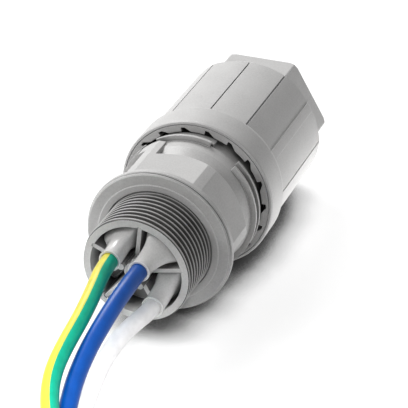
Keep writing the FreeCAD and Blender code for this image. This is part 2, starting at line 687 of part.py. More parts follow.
def make_splice_ring():
    """Modelled with its first channel on +X, then turned to the first contact."""
    splice = new_body("splice_ring")
    body_radius = f"({REAR_BORE} - play)"
    revolved(splice, "barrel", [
        ("post_radius + play", SPLICE_FRONT),
        (f"{body_radius} - 2 * edge_break", SPLICE_FRONT),
        (body_radius, f"{SPLICE_FRONT} + 2 * edge_break"),
        (body_radius, SPLICE_FLANGE),
        (SPLICE_FLANGE_RADIUS, SPLICE_FLANGE),
        (SPLICE_FLANGE_RADIUS, SPLICE_BACK),
        ("post_radius + play", SPLICE_BACK),
    ])
    padded(splice, "key", slot_outline(f"{body_radius} - 1", f"{body_radius} + key_height", "key_width"),
           f"{SPLICE_FRONT} + 1", f"{SPLICE_FLANGE} + 0.5", turn=f"270 - {FIRST_MIDDLE}")
    # the channels lean outwards from the cable to the contacts
    length = f"({SPLICE_BACK} - {SPLICE_FRONT})"
    sketch = new_sketch(splice, "channel_section", "XZ_Plane")
    sketch.AttachmentOffset = Placement(Vector(), Rotation(Vector(0, 1, 0), 1))
    bind(sketch, "AttachmentOffset.Base.x", "channel_rear")
    bind(sketch, "AttachmentOffset.Base.z", f"-{SPLICE_BACK}")
    bind(sketch, "AttachmentOffset.Rotation.Angle", f"atan(({CHANNEL_FRONT} - channel_rear) / {length})")
    circle(sketch, "0", "0", "channel_radius")
    channel = splice.newObject("PartDesign::Pocket", "splice_ring_channel")
    channel.Profile = sketch
    channel.Midplane = True
    bind(channel, "Length", f"2 * {length} + 10")
    splice.Tip = channel
    slot = pocketed(splice, "blade_slot",
                    box_outline("blade_circle - blade_thick / 2 - play",
                                "blade_circle + blade_thick / 2 + play",
                                "-(blade_width / 2 + play)", "blade_width / 2 + play"),
                    f"{SPLICE_FRONT} - 0.01", f"{BLADE_TIP} + blade_room")
    patterned(splice, "channels", [channel, slot], "poles")
    splice.Placement = Placement(Vector(), Rotation(AXIS, 1))
    bind(splice, "Placement.Rotation.Angle", f"-{FIRST_MIDDLE}")
    return splice


def make_cable_seal():
    seal = new_body("cable_seal")
    revolved(seal, "plug", [
        ("cable_radius", SPLICE_BACK),
        (f"{SEAL_RADIUS} - edge_break", SPLICE_BACK),
        (SEAL_RADIUS, f"{SPLICE_BACK} + edge_break"),
        (SEAL_RADIUS, SEAL_SHOULDER),
        ("seal_tip", SEAL_BACK),
        ("cable_radius + 2 * edge_break", SEAL_BACK),
        ("cable_radius", f"{SEAL_BACK} - 2 * edge_break"),
    ])
    return seal


def make_clamping_ring():
    """A basket of fingers that the nut's shoulder presses over the seal's cone."""
    clamp = new_body("clamping_ring")
    tips = f"({SEAL_SHOULDER} + finger_start)"
    cup = f"({SEAL_BACK} + play)"
    revolved(clamp, "basket", [
        (f"{CLAMP_RADIUS} - finger_wall", tips),
        (f"{CLAMP_RADIUS} - edge_break", tips),
        (CLAMP_RADIUS, f"{tips} + edge_break"),
        (CLAMP_RADIUS, f"{CLAMP_BACK} - edge_break"),
        (f"{CLAMP_RADIUS} - edge_break", CLAMP_BACK),
        ("cable_entry + play", CLAMP_BACK),
        ("cable_entry + play", cup),
        ("seal_tip + play", cup),
    ])
    slit = pocketed(clamp, "slit", slot_outline("seal_tip", f"{CLAMP_RADIUS} + 1", "clamp_slit"),
                    f"{tips} - 0.01", f"{SEAL_BACK} - clamp_slit")
    patterned(clamp, "slits", [slit], "clamp_slits")
    return clamp


# Union nut: ratchet ring, grip and rear hexagon, moulded as one piece


def make_union_nut():
    nut = new_body("union_nut")
    mouth_end = f"({NUT_FRONT} + mouth_depth)"
    bore_end = f"({SPLICE_FLANGE} - nut_bore_room)"
    revolved(nut, "shell", [
        (NUT_MOUTH, NUT_FRONT),
        (f"{NUT_RADIUS} - nut_round - face_groove", NUT_FRONT),
        (f"{NUT_RADIUS} - nut_round - face_groove", f"{NUT_FRONT} + face_groove_depth"),
        (f"{NUT_RADIUS} - nut_round", f"{NUT_FRONT} + face_groove_depth"),
        (f"{NUT_RADIUS} - nut_round", NUT_FRONT),
        (f"{NUT_RADIUS} - nut_round * 0.29", f"{NUT_FRONT} + nut_round * 0.29"),
        (NUT_RADIUS, f"{NUT_FRONT} + nut_round"),
        (NUT_RADIUS, f"{GRIP_START} - 2 * nut_step"),
        (NUT_GRIP, f"{GRIP_START} + 2 * nut_step"),
        (NUT_GRIP, f"{GRIP_END} - nut_round"),
        (f"{NUT_GRIP} - nut_round", GRIP_END),
        ("hex_corner", GRIP_END),
        ("hex_corner", f"{NUT_END} - hex_break"),
        ("hex_corner - hex_break", NUT_END),
        ("cable_entry + entry_break", NUT_END),
        ("cable_entry", f"{NUT_END} - entry_break"),
        ("cable_entry", NUT_SHOULDER),
        (NUT_CAVITY, NUT_SHOULDER),
        (NUT_CAVITY, f"{bore_end} + bore_slope"),
        (NUT_BORE, bore_end),
        (NUT_BORE, f"{mouth_end} + 1"),
        (NUT_MOUTH, mouth_end),
    ])
    over = f"({NUT_RADIUS} + 1)"
    facet_middle = f"({NUT_GRIP} - facet_sunk)"

    def facet(sketch):
        box_outline("-2 * facet_curve", "2 * facet_curve", "-2 * facet_curve", "2 * facet_curve")(sketch)
        circle(sketch, "0", f"-(facet_curve - {facet_middle})", "facet_curve")

    def grip_line(name, surface, turn):
        return pocketed(nut, name, slot_outline(f"{surface} - line_depth", over, "line_width"),
                        GRIP_START, f"{GRIP_END} + 0.01", turn=turn)

    curved = pocketed(nut, "facet", facet, f"{GRIP_START} + nut_step", f"{GRIP_END} + 0.01", turn="30 - 90")
    patterned(nut, "facets", [curved], "6")
    corner_line = grip_line("corner_line", NUT_GRIP, "60")
    patterned(nut, "corner_lines", [corner_line], "6")
    middle_lines = [grip_line("top_line", facet_middle, "90"), grip_line("side_line", facet_middle, "150")]
    patterned(nut, "middle_lines", middle_lines, "2")
    rib_radius = f"({facet_middle} + grip_rib_height)"
    rib = revolved(nut, "grip_rib", [
        (f"{NUT_CAVITY} + 1", GRIP_START),
        (rib_radius, GRIP_START),
        (rib_radius, f"{GRIP_END} - nut_round"),
        (f"{NUT_CAVITY} + 1", f"{GRIP_END} - nut_round"),
    ], start="grip_rib_turn + grip_rib_sweep / 2", sweep="grip_rib_sweep")
    patterned(nut, "grip_ribs", [rib], "2")
    hexagon = pocketed(nut, "hex_flat", box_outline(f"-{over}", over, "hex_flat", over),
                       GRIP_END, f"{NUT_END} + 0.01", turn="30 - 90")
    patterned(nut, "hex_flats", [hexagon], "6")

    def tooth(sketch):
        bottom = f"{NUT_MOUTH} + tooth_depth"
        outline(sketch, [
            polar(f"{NUT_MOUTH} - 0.6", "-6"),
            polar(f"{NUT_MOUTH} - 0.6", "2.6"),
            polar(bottom, "2.6"),
            polar(bottom, "-0.6"),
            polar(NUT_MOUTH, "-6"),
        ])

    notch = pocketed(nut, "tooth", tooth, f"{NUT_FRONT} - 0.01", f"{NUT_FRONT} + tooth_length")
    patterned(nut, "teeth", [notch], "nut_teeth")
    return nut


# Leads: each runs from its boot to a flat coil of its own, the three coils stacked

FLOOR = f"-{NUT_RADIUS}"
# points after the boot's tip, chosen by hand, from the panel side outwards
LEAD_ROUTES = {
    "neutral": [(3.1, -21.6, 3.6), (2.6, -28.4, 2.4), (2.0, -35.0, 0.4), (1.4, -41.6, -2.3),
                (1.5, -48.4, -5.4), (2.6, -55.0, -8.7), (4.6, -60.9, -11.8)],
    "earth": [(-3.6, -21.4, 4.8), (-2.6, -28.8, 3.5), (-2.2, -36.2, 1.7), (-2.5, -43.6, -0.5),
              (-2.4, -49.6, -2.7), (-0.9, -55.2, -4.8), (2.1, -60.8, -6.9)],
    "line": [(6.1, -19.9, -4.6), (4.5, -25.2, -5.0), (3.0, -30.4, -6.4), (2.1, -35.6, -8.6),
             (2.1, -42.0, -11.3), (3.1, -49.4, -13.7), (4.8, -58.0, -15.9)],
}
COIL_LAYER = {"line": 0, "neutral": 1, "earth": 2}


def lead_path(points):
    """Straight runs joined by tangent arcs, and the smallest radius used."""
    edges = []
    radii = []
    start = points[0]
    for before, corner, after in zip(points, points[1:], points[2:]):
        to_corner = (corner - before).normalize()
        from_corner = (after - corner).normalize()
        half_turn = to_corner.getAngle(from_corner) / 2
        cut = 0.45 * min((corner - before).Length, (after - corner).Length)
        radii.append(cut / math.tan(half_turn))
        enter = corner - to_corner * cut
        leave = corner + from_corner * cut
        bisector = (from_corner - to_corner).normalize()
        centre = corner + bisector * (cut / math.sin(half_turn))
        middle = centre - bisector * radii[-1]
        edges.append(Part.LineSegment(start, enter).toShape())
        edges.append(Part.Arc(enter, middle, leave).toShape())
        start = leave
    edges.append(Part.LineSegment(start, points[-1]).toShape())
    return Part.Wire(edges), min(radii)


def lead_points(name):
    """The tube's corners: inside the boot, along the route, to the side of the coil."""
    _, tip = BOOTS[f"lead_boot_{name}"]
    inside = tip + Vector(0, value(f"{SHANK_END} - boot_reach + boot_socket"), 0)
    layer = value(f"{FLOOR} + lead_radius + {COIL_LAYER[name]} * coil_pitch")
    # the tube ends at the coil's side, heading for the place where it would touch the outer turn
    outer = value("coil_outer")
    turn = math.radians(value("coil_start"))
    before = math.sqrt((outer + value("2 * lead_radius")) ** 2 - outer ** 2)
    meet = Vector(value("coil_x") + outer * math.cos(turn) - before * math.sin(turn),
                  value("coil_y") + outer * math.sin(turn) + before * math.cos(turn), layer)
    return [inside] + [Vector(*point) for point in LEAD_ROUTES[name]] + [meet]


def make_lead(name):
    points = lead_points(name)
    path, smallest = lead_path(points)
    radius = value("lead_radius")
    profile = Part.Wire([Part.makeCircle(radius, points[0], points[1] - points[0])])
    tube = path.makePipeShell([profile], True, False)
    expected = math.pi * radius ** 2 * path.Length
    print(f"lead_{name}: path {path.Length:.1f}, smallest radius {smallest:.1f},"
          f" volume {tube.Volume:.0f} of {expected:.0f}")
    return shape_part(f"lead_{name}", tube)


def make_lead_coil(name):
    """The outer shape of one flat coil: a ring one lead thick."""
    layer = COIL_LAYER[name]
    height = f"{FLOOR} + {layer} * coil_pitch"
    rings = []
    for part, radius in (("outside", "coil_outer + lead_radius"),
                         ("inside", "coil_outer - coil_turns * coil_pitch - lead_radius")):
        ring = doc.addObject("Part::Cylinder", f"coil_{name}_{part}")
        bind(ring, "Radius", radius)
        bind(ring, "Height", "2 * lead_radius")
        bind(ring, "Placement.Base.x", "coil_x")
        bind(ring, "Placement.Base.y", "coil_y")
        bind(ring, "Placement.Base.z", height)
        rings.append(ring)
    coil = doc.addObject("Part::Cut", f"lead_coil_{name}")
    coil.Label = f"lead_coil_{name}"
    coil.Base, coil.Tool = rings
    return coil


pieces = [
    make_panel_base(),
    make_flange_gasket(),
    make_housing_seal(),
    make_chamber_insert(),
    make_contact_carrier(),
    make_splice_ring(),
    make_cable_seal(),
    make_clamping_ring(),
    make_union_nut(),
]
pieces += [make_contact(number) for number in range(int(value("poles")))]
pieces += [make_boot(label, *facts) for label, facts in BOOTS.items()]
pieces += [make_plug(label, number) for label, number in PLUGS.items()]
pieces += [make_lead(name) for name in LEAD_ROUTES]
pieces += [make_lead_coil(name) for name in LEAD_ROUTES]

doc.recompute()

for thing in doc.Objects:
    if "Invalid" in thing.State or "Error" in thing.State:
        raise RuntimeError(f"{thing.Label} failed: {thing.State}")
for piece in pieces:
    if piece.Shape.isNull() or not piece.Shape.isValid():
        raise RuntimeError(f"{piece.Label} has no valid shape")

os.makedirs("parts", exist_ok=True)
for piece in pieces:
    solids = piece.Shape.Solids
    if len(solids) != 1:
        raise RuntimeError(f"{piece.Label} is {len(solids)} solids")
    piece.Shape.exportStep(f"parts/{piece.Label}.step")
    print(f"{piece.Label}: {piece.Shape.Volume:.1f} cubic millimetres")
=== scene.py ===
# %% [markdown]
# # A panel feed-through connector
#
# The connector is a grey moulded part that brings a cable through a panel. Its construction is already
# fixed: every solid arrives in place and at its real size. This lesson dresses it: it lays three coloured
# leads, cuts a real screw thread, and gives each piece the finish of its material.

# %% Load the fixed model
import math

import bmesh
import bpy
from mathutils import Matrix, Vector


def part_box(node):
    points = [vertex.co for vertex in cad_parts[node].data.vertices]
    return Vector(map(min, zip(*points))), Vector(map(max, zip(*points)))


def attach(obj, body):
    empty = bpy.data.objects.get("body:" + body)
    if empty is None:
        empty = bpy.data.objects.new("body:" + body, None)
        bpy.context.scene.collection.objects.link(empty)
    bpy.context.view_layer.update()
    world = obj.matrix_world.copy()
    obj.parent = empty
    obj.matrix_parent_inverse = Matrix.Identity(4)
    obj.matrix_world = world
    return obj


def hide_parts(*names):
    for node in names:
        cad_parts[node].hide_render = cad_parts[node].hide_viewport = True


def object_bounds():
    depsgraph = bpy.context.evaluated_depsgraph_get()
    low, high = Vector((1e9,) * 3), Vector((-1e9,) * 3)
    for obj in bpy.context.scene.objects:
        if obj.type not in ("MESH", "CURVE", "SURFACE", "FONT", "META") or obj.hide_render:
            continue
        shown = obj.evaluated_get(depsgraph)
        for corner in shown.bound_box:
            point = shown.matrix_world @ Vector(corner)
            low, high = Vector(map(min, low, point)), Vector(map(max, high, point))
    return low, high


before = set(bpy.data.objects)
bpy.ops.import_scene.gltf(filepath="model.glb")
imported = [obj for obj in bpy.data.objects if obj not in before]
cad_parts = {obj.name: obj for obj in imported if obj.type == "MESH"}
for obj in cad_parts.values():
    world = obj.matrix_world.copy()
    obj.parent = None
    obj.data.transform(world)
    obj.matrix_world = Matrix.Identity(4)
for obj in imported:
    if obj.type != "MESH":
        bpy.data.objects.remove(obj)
cad_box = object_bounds()
MM = 0.001

# %% [markdown]
# ## The camera
#
# The view looks down on the open end of the threaded shank from the right. Two directions say where the
# picture's right side and its top point in the world. The third, back towards the viewer, stands square on
# both, and the three together are the camera's rotation. That is steadier than aiming with angles, because
# nothing has to be turned in the right order.

# %% Place the camera
CAMERA_PLACE = Vector((0.144914, -0.349849, 0.223608))
PICTURE_RIGHT = Vector((0.93388, 0.35757, 0.0))
PICTURE_UP = Vector((-0.17579, 0.45912, 0.87081))
SENSOR_MM = 36.0
LENS_MM = 176.47

camera = bpy.data.objects.new("camera", bpy.data.cameras.new("camera"))
camera.data.sensor_width = SENSOR_MM
camera.data.lens = LENS_MM
towards_viewer = PICTURE_RIGHT.cross(PICTURE_UP)
turned = Matrix((PICTURE_RIGHT, PICTURE_UP, towards_viewer)).transposed()
camera.matrix_world = Matrix.Translation(CAMERA_PLACE) @ turned.to_4x4()
bpy.context.scene.collection.objects.link(camera)
bpy.context.scene.camera = camera
print("camera", round(CAMERA_PLACE.length, 3), "m from the panel seat")

# %% [markdown]
# ## The leads
#
# Each lead is half a metre of insulated wire. It leaves its boot straight, droops to the table, and ends in
# a flat coil beyond the picture. A real wire has one smooth line, so its route is a single spline. Where the
# wire hangs, its points are listed, in millimetres from inside the boot to the side of the coil.

# %% List the routes
LEAD_RADIUS = 1.9 * MM
ROUTES = {
    "neutral": [(3.1, -15.5, 3.6), (3.1, -21.6, 3.6), (2.6, -28.4, 2.4), (2.0, -35.0, 0.4),
                (1.4, -41.6, -2.3), (1.5, -48.4, -5.4), (2.6, -55.0, -8.7), (4.6, -60.9, -11.8)],
    "earth": [(-3.6, -15.5, 4.8), (-3.6, -21.4, 4.8), (-2.6, -28.8, 3.5), (-2.2, -36.2, 1.7),
              (-2.5, -43.6, -0.5), (-2.4, -49.6, -2.7), (-0.9, -55.2, -4.8), (2.1, -60.8, -6.9)],
    "line": [(6.1, -15.5, -4.6), (6.1, -19.9, -4.6), (4.5, -25.2, -5.0), (3.0, -30.4, -6.4),
             (2.1, -35.6, -8.6), (2.1, -42.0, -11.3), (3.1, -49.4, -13.7), (4.8, -58.0, -15.9)],
}
for name, points in ROUTES.items():
    print(f"lead {name}: {len(points)} points set by hand")

# %% [markdown]
# ## The coils
#
# What the picture doesn't show of a wire is put away, wound as for storage. The three coils are flat spirals
# that lie on each other like mats, one wire thick each. A spiral set by hand would wobble, so a loop works
# its points out.

# %% Wind the coils
FLOOR_LEVEL = cad_box[0][2]
LAYER_HEIGHT = 3.9 * MM
LAYERS = {"line": 0, "neutral": 1, "earth": 2}
TURN_PITCH = 3.9 * MM
COIL_CENTRE = Vector((-8.9 * MM, -90.6 * MM, 0))
OUTER_TURN = 25.4 * MM
TURNS = 3.8
START_ANGLE = math.radians(29.0)
POINTS_PER_TURN = 16


def round_the_coil(turned_by, radius, height):
    angle = START_ANGLE - turned_by
    return COIL_CENTRE + Vector((radius * math.cos(angle), radius * math.sin(angle), height))


def coil_points(height):
    """Control points of a flat spiral that winds inwards, clockwise as seen from above.

    The first lies on the straight line along which the wire joins the outer turn."""
    half_step = math.pi / POINTS_PER_TURN
    joins = round_the_coil(0, OUTER_TURN, height)
    heading = Vector((math.sin(START_ANGLE), -math.cos(START_ANGLE), 0))
    before = math.sqrt((OUTER_TURN + 2 * LEAD_RADIUS) ** 2 - OUTER_TURN ** 2)
    points = [joins - heading * before]
    for step in range(round(TURNS * POINTS_PER_TURN)):
        turned_by = (2 * step + 1) * half_step
        radius = OUTER_TURN - turned_by / (2 * math.pi) * TURN_PITCH
        # the curve runs through the middles of its control polygon's sides, nearer the centre
        points.append(round_the_coil(turned_by, radius / math.cos(half_step), height))
    return points


def route_points(name):
    height = FLOOR_LEVEL + LEAD_RADIUS + LAYERS[name] * LAYER_HEIGHT
    loose = [Vector(point) * MM for point in ROUTES[name]]
    return loose + coil_points(height)


print(len(route_points("earth")), "points in all on the earth lead")

# %% [markdown]
# ## From points to a line
#
# A NURBS spline of order 3 passes near its points in one sweep, with no corner anywhere. Its order has to
# be set after its points, since Blender lowers it on a spline that still has too few. Turning the curve
# into a mesh gives the places along it, which the wire's tube follows.

# %% Turn a route into a smooth line
PLACES_PER_POINT = 8


def smooth_line(points):
    """The line of one NURBS spline through its control points, as a list of places."""
    curve = bpy.data.curves.new("route", "CURVE")
    curve.dimensions = "3D"
    spline = curve.splines.new("NURBS")
    spline.points.add(len(points) - 1)
    for target, place in zip(spline.points, points):
        target.co = (*place, 1)
    spline.order_u = 3
    spline.use_endpoint_u = True
    spline.resolution_u = PLACES_PER_POINT
    carrier = bpy.data.objects.new("route", curve)
    bpy.context.scene.collection.objects.link(carrier)
    line = bpy.data.meshes.new_from_object(carrier)
    places = [vertex.co.copy() for vertex in line.vertices]
    bpy.data.objects.remove(carrier)
    return places


def line_length(places):
    return sum((after - before).length for before, after in zip(places, places[1:]))


lines = {name: smooth_line(route_points(name)) for name in ROUTES}
for name, places in lines.items():
    print(f"lead {name}: {len(places)} places, {line_length(places) * 1000:.1f} mm")

# %% [markdown]
# ## The insulation
#
# The earth lead is two-coloured: a yellow stripe is extruded into the green along the whole wire. A tube
# built ring by ring has a face for each step round the wire, so the stripe is simply a second material on
# some of them. Every ring is carried on from the one before with the smallest turn, so the stripe doesn't
# wind round the wire. The last seven millimetres are stripped to the copper, ready for a terminal.

# %% Carry rings along the line
CONDUCTOR_RADIUS = 0.9 * MM
BARE_END = 7 * MM


def ring_frames(places):
    """Each place with two directions across the line, carried along without twist."""
    frames = []
    across = Vector((1, 0, 0))
    for i, place in enumerate(places):
        before = places[max(i - 1, 0)]
        after = places[min(i + 1, len(places) - 1)]
        along = (after - before).normalized()
        across = (across - along * across.dot(along)).normalized()
        frames.append((place, across, across.cross(along)))
    return frames


def wire_rings(places):
    """A wire's rings: place, two directions across, radius, and whether the copper is bare."""
    left = line_length(places)
    was_bare = False
    rings = []
    for i, (place, across, upward) in enumerate(ring_frames(places)):
        left -= (place - places[max(i - 1, 0)]).length
        bare = left < BARE_END
        if bare and not was_bare:
            # the insulation's cut end is a flat ring, so its rim and the copper's share a place
            rings.append((place, across, upward, LEAD_RADIUS, True))
        rings.append((place, across, upward, CONDUCTOR_RADIUS if bare else LEAD_RADIUS, bare))
        was_bare = bare
    return rings


for name, places in lines.items():
    print(f"lead {name}: {len(wire_rings(places))} rings")

# %% Skin the rings
SIDES = 24
STRIPE_SIDES = range(10, 18)
INSULATION_SLOT, STRIPE_SLOT, COPPER_SLOT = range(3)


def ring_corners(built, place, across, upward, radius):
    """The corners of one ring. They start half a side round, so that a side's middle faces across."""
    corners = []
    for side in range(SIDES):
        angle = 2 * math.pi * (side + 0.5) / SIDES
        offset = across * math.cos(angle) + upward * math.sin(angle)
        corners.append(built.verts.new(place + offset * radius))
    return corners


def side_slot(side, bare, striped):
    """Which of the wire's three materials a side takes."""
    if bare:
        return COPPER_SLOT
    return STRIPE_SLOT if side in striped else INSULATION_SLOT


def wire_mesh(name, places, striped):
    """A lead as a closed tube: insulation, a second colour on the striped sides, then bare copper."""
    mesh = bpy.data.meshes.new(name)
    built = bmesh.new()
    rings = [(ring_corners(built, *ring), bare) for *ring, bare in wire_rings(places)]
    for (ring, bare), (following, _) in zip(rings, rings[1:]):
        for side in range(SIDES):
            after = (side + 1) % SIDES
            face = built.faces.new((ring[side], ring[after], following[after], following[side]))
            face.smooth = True
            face.material_index = side_slot(side, bare, striped)
    built.faces.new(reversed(rings[0][0]))
    built.faces.new(rings[-1][0]).material_index = COPPER_SLOT
    bmesh.ops.recalc_face_normals(built, faces=built.faces)
    built.to_mesh(mesh)
    built.free()
    return mesh


wire_meshes = {}
for name, places in lines.items():
    striped = STRIPE_SIDES if name == "earth" else ()
    wire_meshes[name] = wire_mesh(f"lead_{name}_wire", places, striped)
    print(f"lead {name}: a tube of {len(wire_meshes[name].polygons)} faces")

# %% [markdown]
# ## Shader maths in plain expressions
#
# A finish is a small graph of nodes. Written as wires it is hard to read, so a socket is wrapped in a class
# whose plus, minus and times add the node that does the sum. One method makes every other node: settings
# first, then the values or links of its sockets.

# %% A socket that can be added and multiplied
class Signal:
    """The output of a node, ready for arithmetic."""

    def __init__(self, finish, socket):
        self.finish = finish
        self.socket = socket

    def combine(self, operation, first, second):
        return self.finish.node("ShaderNodeMath", {"operation": operation}, {0: first, 1: second})

    def __add__(self, other):
        return self.combine("ADD", self, other)

    def __radd__(self, other):
        return self.combine("ADD", other, self)

    def __sub__(self, other):
        return self.combine("SUBTRACT", self, other)

    def __rsub__(self, other):
        return self.combine("SUBTRACT", other, self)

    def __mul__(self, other):
        return self.combine("MULTIPLY", self, other)

    def __rmul__(self, other):
        return self.combine("MULTIPLY", other, self)

    def either(self, other):
        """The larger of the two, so 1 in one of them is enough."""
        return self.combine("MAXIMUM", self, other)


print("Signal:", Signal.__doc__)

# %% A finish: one material and its nodes
# a Mix node has a row of sockets for each kind of data, and these are the places of the colour ones
MIX_SHARE, MIX_FIRST, MIX_SECOND, MIX_RESULT = 0, 6, 7, 2


class Finish:
    """A material, or the world, whose nodes are made by one method."""

    def __init__(self, owner, shader="Principled BSDF"):
        self.owner = owner
        self.owner.use_nodes = True
        self.tree = owner.node_tree
        self.shader = self.tree.nodes[shader]

    def node(self, kind, settings=None, sockets=None, output=0):
        made = self.tree.nodes.new(kind)
        for key, setting in (settings or {}).items():
            if key == "stops":
                self.fill_ramp(made.color_ramp, setting)
            else:
                setattr(made, key, setting)
        for key, entry in (sockets or {}).items():
            self.feed(made.inputs[key], entry)
        return Signal(self, made.outputs[output])

    def fill_ramp(self, ramp, stops):
        while len(ramp.elements) < len(stops):
            ramp.elements.new(0.5)
        for element, (position, level) in zip(ramp.elements, stops):
            element.position = position
            element.color = (level, level, level, 1)

    def feed(self, socket, entry):
        if isinstance(entry, Signal):
            self.tree.links.new(entry.socket, socket)
        else:
            socket.default_value = entry

    def set(self, **sockets):
        """Sets the shader's own sockets, and gives back the material."""
        for key, entry in sockets.items():
            self.feed(self.shader.inputs[key.replace("_", " ")], entry)
        return self.owner

    def place(self):
        """The spot on the piece, in its own metres."""
        return self.node("ShaderNodeTexCoord", output="Object")

    def noise(self, scale, detail):
        return self.node("ShaderNodeTexNoise", {}, {"Vector": self.place(), "Scale": scale, "Detail": detail})

    def ramp(self, signal, *stops):
        """A level for each value of the signal, from stops of value and level."""
        return self.node("ShaderNodeValToRGB", {"stops": stops}, {"Fac": signal})

    def mix(self, share, first, second):
        sockets = {MIX_SHARE: share, MIX_FIRST: first, MIX_SECOND: second}
        return self.node("ShaderNodeMix", {"data_type": "RGBA"}, sockets, MIX_RESULT)

    def vector_maths(self, operation, sockets, output="Vector"):
        return self.node("ShaderNodeVectorMath", {"operation": operation}, sockets, output)

    def openness(self, reach, samples):
        """How much of the space within reach of the spot is open, from 0 to 1."""
        return self.node("ShaderNodeAmbientOcclusion", {"samples": samples}, {"Distance": reach}, "AO")

    def bump(self, height, distance, normal=None):
        sockets = {"Height": height, "Distance": distance, "Strength": 1.0}
        if normal is not None:
            sockets["Normal"] = normal
        return self.node("ShaderNodeBump", {}, sockets)


print("Finish:", Finish.__doc__)

# %% [markdown]
# ## Moulded plastic
#
# The housing is glass-filled nylon. Close to, it is never one grey: the melt leaves faint light and dark
# flow clouds, and the mould's fine erosion leaves a grain. An image would have to be unwrapped onto every
# piece. Noise in a piece's own space has no seams and fits any shape, so a coarse and a fine noise give
# the clouds and the grain.

# %% Mix the plastic's own grey
WARMTH = 0.01
CLOUD_CONTRAST = 0.05
GRAIN_SHARE = 0.5
GRAIN_TONE = 1.2


def grey(level, warm=0.0):
    """A grey colour, with more red and less blue by the share warm."""
    return (level * (1 + warm), level, level * (1 - warm), 1)


def melt_tone(finish, level, cloud, speck):
    """The grey of the melt: soft clouds round its level, and a finer, paler grain."""
    dark_cloud = grey(level * (1 - CLOUD_CONTRAST), WARMTH)
    pale_cloud = grey(level * (1 + CLOUD_CONTRAST), WARMTH)
    clouded = finish.mix(finish.ramp(cloud, (0.3, 0.0), (0.7, 1.0)), dark_cloud, pale_cloud)
    grains = GRAIN_SHARE * finish.ramp(speck, (0.35, 0.0), (0.65, 1.0))
    return finish.mix(grains, clouded, grey(level * GRAIN_TONE, WARMTH))


print("a warm middle grey:", grey(0.5, WARMTH))

# %% [markdown]
# ## Edges and corners
#
# No moulded edge is sharp, so it catches a thin line of light. Real roundings on every edge would cost many
# thousands of faces, so the Bevel node only turns the normals near an edge, by a fifth of a millimetre. How
# far it turns them also tells where the edges are, and a paler tone is painted there as a highlight.
# In an inner corner the tone is darker instead, as painted shade where little light gets in. Ambient
# Occlusion measures how open a spot is, also between two pieces, so this painted shade follows every pose.

# %% Paint highlights on the edges and shade in the corners
BEVEL_SAMPLES = 6
CORNER_SAMPLES = 6
CORNER_DARKNESS = 0.8
EDGE_HIGHLIGHT_TONE = 1.5
PALEST_TONE = 0.85
SHADE_TONE = 0.14
SHADE_WARMTH = 0.03


def with_painted_shade(finish, share, tone, level):
    """The tone, mixed by a share towards a dark grey: painted shade."""
    return finish.mix(share, tone, grey(level * SHADE_TONE, SHADE_WARMTH))


def painted_corner_shade(finish, reach):
    """Painted shade: CORNER_DARKNESS in a corner narrower than reach, and 0 on open surfaces."""
    return finish.ramp(finish.openness(reach, CORNER_SAMPLES),
                       (0.3, CORNER_DARKNESS), (0.5, CORNER_DARKNESS * 0.6), (0.78, 0.0))


def painted_edge_highlight(finish, tone, level, rounded):
    """A painted highlight: a paler tone where the rounded normal turns away from the true one."""
    true_normal = finish.node("ShaderNodeNewGeometry", output="Normal")
    facing = finish.vector_maths("DOT_PRODUCT", {0: rounded, 1: true_normal}, "Value")
    edge_highlight = finish.ramp(1 - facing, (0.002, 0.0), (0.035, 0.85))
    return finish.mix(edge_highlight, tone, grey(min(level * EDGE_HIGHLIGHT_TONE, PALEST_TONE)))


# The paler edges are a painted highlight, and the darker corners are painted shade.
print("corners are shaded by up to", CORNER_DARKNESS, "and rubbed edges are", EDGE_HIGHLIGHT_TONE, "times as pale")

# %% [markdown]
# ## Deep hollows
#
# The mouth of the union nut and the wiring chambers are deep and crowded, and in the picture they are nearly
# black. A corner shade of a few millimetres' reach can't tell how deep a spot lies. So their painted shade is
# given in the connector's own measures, as a distance from its axis and a place along it. A piece's own space
# moves with the piece, so the painted shade stays where it belongs when the nut turns.

# %% Find the deep hollows, for painted shade
MOUTH_RADIUS = 16.2 * MM
MOUTH_FADE = 1 * MM
MOUTH_START = 23 * MM
MOUTH_REACH = 10 * MM
MOUTH_DARKNESS = 0.92
CHAMBER_START = -12.32 * MM
CHAMBER_REACH = 8 * MM
BOOT_DARKNESS = 0.6
BORE_SCALE = 20 * MM


def from_axis(finish):
    """The spot's distance from the connector's axis, in metres."""
    across = finish.vector_maths("MULTIPLY", {0: finish.place(), 1: (1, 0, 1)})
    return finish.vector_maths("LENGTH", {0: across}, "Value")


def along_axis(finish):
    """The spot's place along the connector's axis, in metres."""
    return finish.node("ShaderNodeSeparateXYZ", {}, {0: finish.place()}, "Y")


def progress(signal, start, reach):
    """0 where the signal is at start, and 1 a reach further on."""
    return (signal - start) * (1 / reach)


def nut_mouth_shade(finish):
    """Painted shade, near 1 inside the nut's mouth, between and behind its ratchet teeth, and 0 elsewhere."""
    outwards = progress(from_axis(finish), MOUTH_RADIUS, MOUTH_FADE)
    inwards = progress(along_axis(finish), MOUTH_START, MOUTH_REACH)
    teeth = finish.ramp(outwards, (0.0, 1.0), (0.75, 1.0), (0.85, 0.0), (1.0, 0.0))
    behind_face = finish.ramp(inwards, (0.06, 0.0), (0.12, 1.0), (0.6, 1.0), (0.65, 0.0))
    return MOUTH_DARKNESS * teeth * behind_face


def chamber_shade(finish):
    """Painted shade, 0 at the shank's open end and rising to 0.9 deep in the chambers."""
    inwards = progress(along_axis(finish), CHAMBER_START, CHAMBER_REACH)
    return finish.ramp(inwards, (0.1, 0.0), (0.35, 0.55), (0.7, 0.9))


def boot_shade(finish):
    """A part of the chambers' painted shade, because a boot's smooth skin still catches light there."""
    return BOOT_DARKNESS * chamber_shade(finish)


def housing_hollow_shade(finish):
    """The chambers' painted shade, on the shank's bore only."""
    outwards = from_axis(finish) * (1 / BORE_SCALE)
    bore = finish.ramp(outwards, (0.0, 1.0), (0.555, 1.0), (0.565, 0.0))
    return bore * chamber_shade(finish)


hollows = (nut_mouth_shade, chamber_shade, boot_shade, housing_hollow_shade)
print("hollows:", ", ".join(hollow.__name__ for hollow in hollows))

